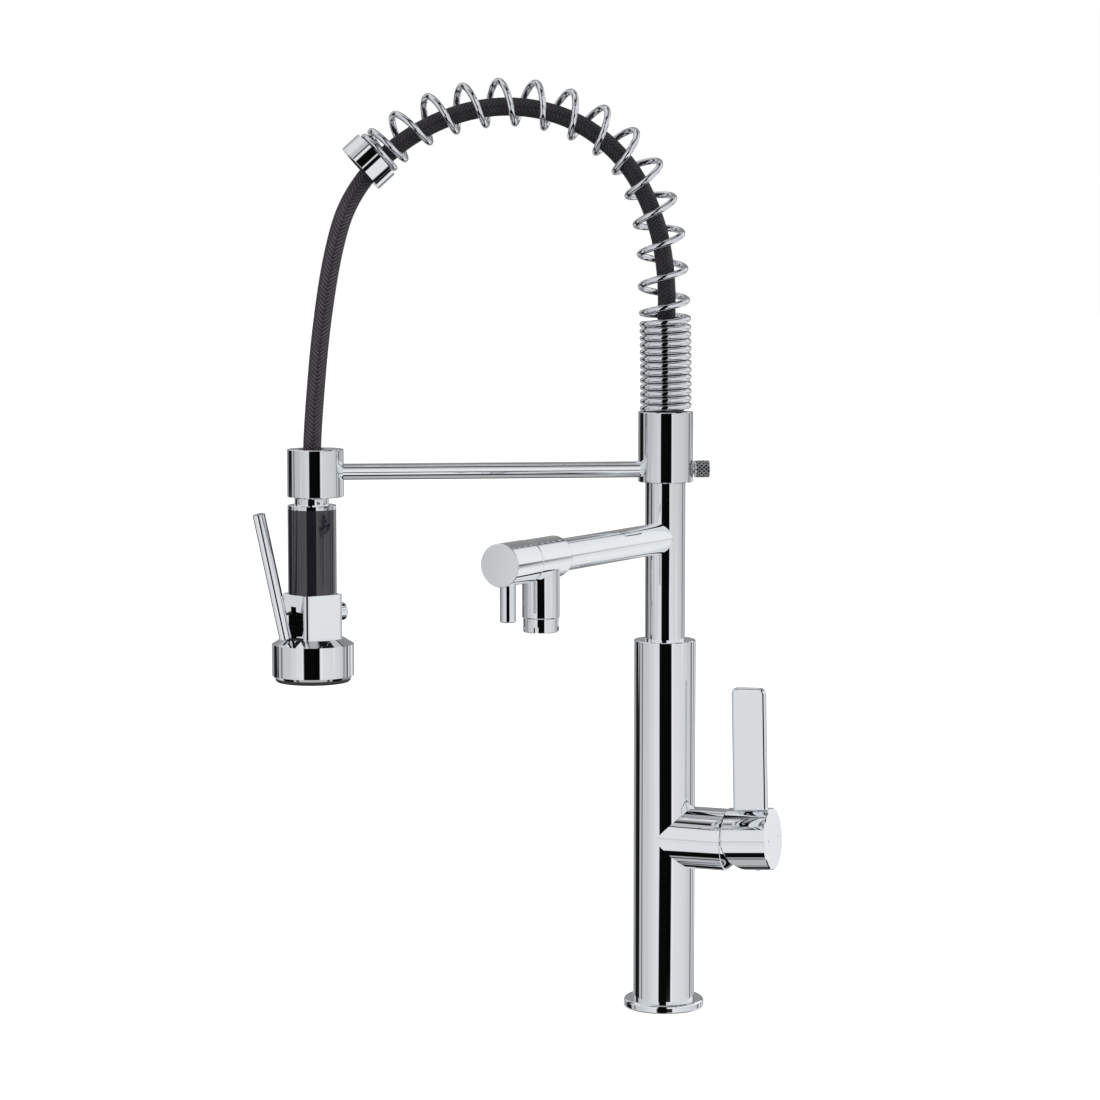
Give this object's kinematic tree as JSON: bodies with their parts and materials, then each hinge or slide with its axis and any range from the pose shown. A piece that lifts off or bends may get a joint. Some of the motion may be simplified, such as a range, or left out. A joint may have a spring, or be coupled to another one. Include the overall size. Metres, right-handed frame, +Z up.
{
  "type": "kitchen faucet",
  "caption": "Tall chrome mixer tap with a side lever, a valved side spout and a hand spray hung from a coiled support spring.",
  "frame": {"origin": "on the column's axis, in the plane of the deck that the foot stands on", "axes": "+Z up along the column, +X out along the mixer boss to the lever, -Y to the user, the side spout's way"},
  "size_m": [0.3023, 0.2324, 0.5979],
  "materials": {
    "chrome": "polished chrome plate over brass",
    "knurled_chrome": "chrome plate over diamond knurling",
    "spring_steel": "polished round steel wire",
    "black_grip": "gloss black moulding",
    "black_rubber": "matt rubber",
    "hose_braid": "black braid over a rubber hose",
    "bare_brass": "machined brass",
    "copper": "drawn copper tube",
    "white_plastic": "moulded acetal",
    "ceramic": "polished alumina",
    "black_plastic": "moulded acetal",
    "grey_plastic": "moulded plug",
    "steel": "stainless steel"
  },
  "bodies": {
    "column": {"column_body": "chrome", "base_flange": "chrome", "base_seal": "black_rubber", "inlet_block": "bare_brass", "pipe_plate": "bare_brass", "hot_pipe": "copper", "cold_pipe": "copper", "mixed_pipe": "copper", "riser_feed_plug": "bare_brass", "riser_grub_screw": "steel", "cartridge_body": "white_plastic", "fixed_disc": "ceramic", "cartridge_nut": "bare_brass", "bonnet": "chrome"},
    "lever_rotor": {"cartridge_rotor": "white_plastic"},
    "flow_disc": {"moving_disc": "ceramic"},
    "lever": {"cartridge_stem": "steel", "stem_pin": "steel", "lever_handle": "chrome", "lever_grub_screw": "steel", "screw_plug": "grey_plastic"},
    "riser": {"riser_tube": "chrome", "riser_seals": "black_rubber", "side_spout": "chrome", "spout_valve_body": "chrome", "aerator_ring": "chrome", "aerator_insert": "white_plastic", "spout_headwork": "bare_brass", "spring_holder": "black_plastic"},
    "side_knob": {"side_knob": "chrome", "knob_pin": "chrome", "spout_spindle": "bare_brass"},
    "arm": {"arm_collar": "chrome", "arm_rod": "chrome", "dock_ring": "chrome", "dock_liner": "black_plastic", "support_spring": "spring_steel", "spring_sleeve": "chrome", "spray_hose": "hose_braid", "hose_ferrule": "bare_brass"},
    "thumb_screw": {"thumb_screw": "knurled_chrome"},
    "hose_swivel": {"neck_cone": "chrome", "swivel_clip": "steel"},
    "handset": {"grip_ring": "chrome", "grip_sleeve": "black_grip", "inner_tube": "bare_brass", "valve_block": "chrome", "trigger_pin": "steel", "valve_cap": "chrome", "valve_spring": "steel", "spray_bell": "chrome", "spray_face": "black_rubber"},
    "trigger": {"trigger_rod": "chrome"},
    "plunger": {"valve_plunger": "bare_brass"}
  },
  "joints": [
    {"name": "riser_swivel", "type": "hinge", "parent": "column", "child": "riser", "pos_m": [0, 0, 0.24], "axis": [0, 0, 1], "continuous": true},
    {"name": "arm_swivel", "type": "hinge", "parent": "riser", "child": "arm", "pos_m": [0, 0, 0.35], "axis": [0, 0, 1], "range_deg": [-150, 150]},
    {"name": "thumb_screw_turn", "type": "hinge", "parent": "arm", "child": "thumb_screw", "pos_m": [0, 0, 0.35], "axis": [0.887, 0.4617, 0], "range_deg": [0, 360]},
    {"name": "side_knob_turn", "type": "hinge", "parent": "riser", "child": "side_knob", "pos_m": [0, 0, 0.306], "axis": [-0.1564, -0.9877, 0], "range_deg": [0, 90]},
    {"name": "temperature_turn", "type": "hinge", "parent": "column", "child": "lever_rotor", "pos_m": [0, 0, 0.112], "axis": [1, 0, 0], "range_deg": [-45, 45]},
    {"name": "flow_tilt", "type": "hinge", "parent": "lever_rotor", "child": "lever", "pos_m": [0.033, 0, 0.112], "axis": [0, 1, 0], "range_deg": [0, 22]},
    {"name": "disc_slide", "type": "slide", "parent": "lever_rotor", "child": "flow_disc", "axis": [0, 0, 1], "range_m": [0, 0.0028]},
    {"name": "handset_pull", "type": "slide", "parent": "arm", "child": "hose_swivel", "axis": [0, 0, -1], "range_m": [0, 0.04], "stiffness_N_per_m": 120, "springref_m": -0.06, "deforming": ["spray_hose"]},
    {"name": "handset_turn", "type": "hinge", "parent": "hose_swivel", "child": "handset", "pos_m": [-0.20082, -0.10454, 0.32], "axis": [0, 0, 1], "continuous": true},
    {"name": "trigger_press", "type": "hinge", "parent": "handset", "child": "trigger", "pos_m": [-0.20686, -0.11349, 0.249], "axis": [-0.829, 0.5592, 0], "range_deg": [0, 12], "stiffness_Nm_per_rad": 1, "springref_deg": -17.19},
    {"name": "plunger_push", "type": "slide", "parent": "handset", "child": "plunger", "axis": [0.5592, 0.829, 0], "range_m": [0, 0.0024], "deforming": ["valve_spring"]}
  ],
  "couplings": [
    {"joint": "disc_slide", "follows": "flow_tilt", "m_per_rad": 0.007},
    {"joint": "plunger_push", "follows": "trigger_press", "m_per_rad": 0.011}
  ]
}
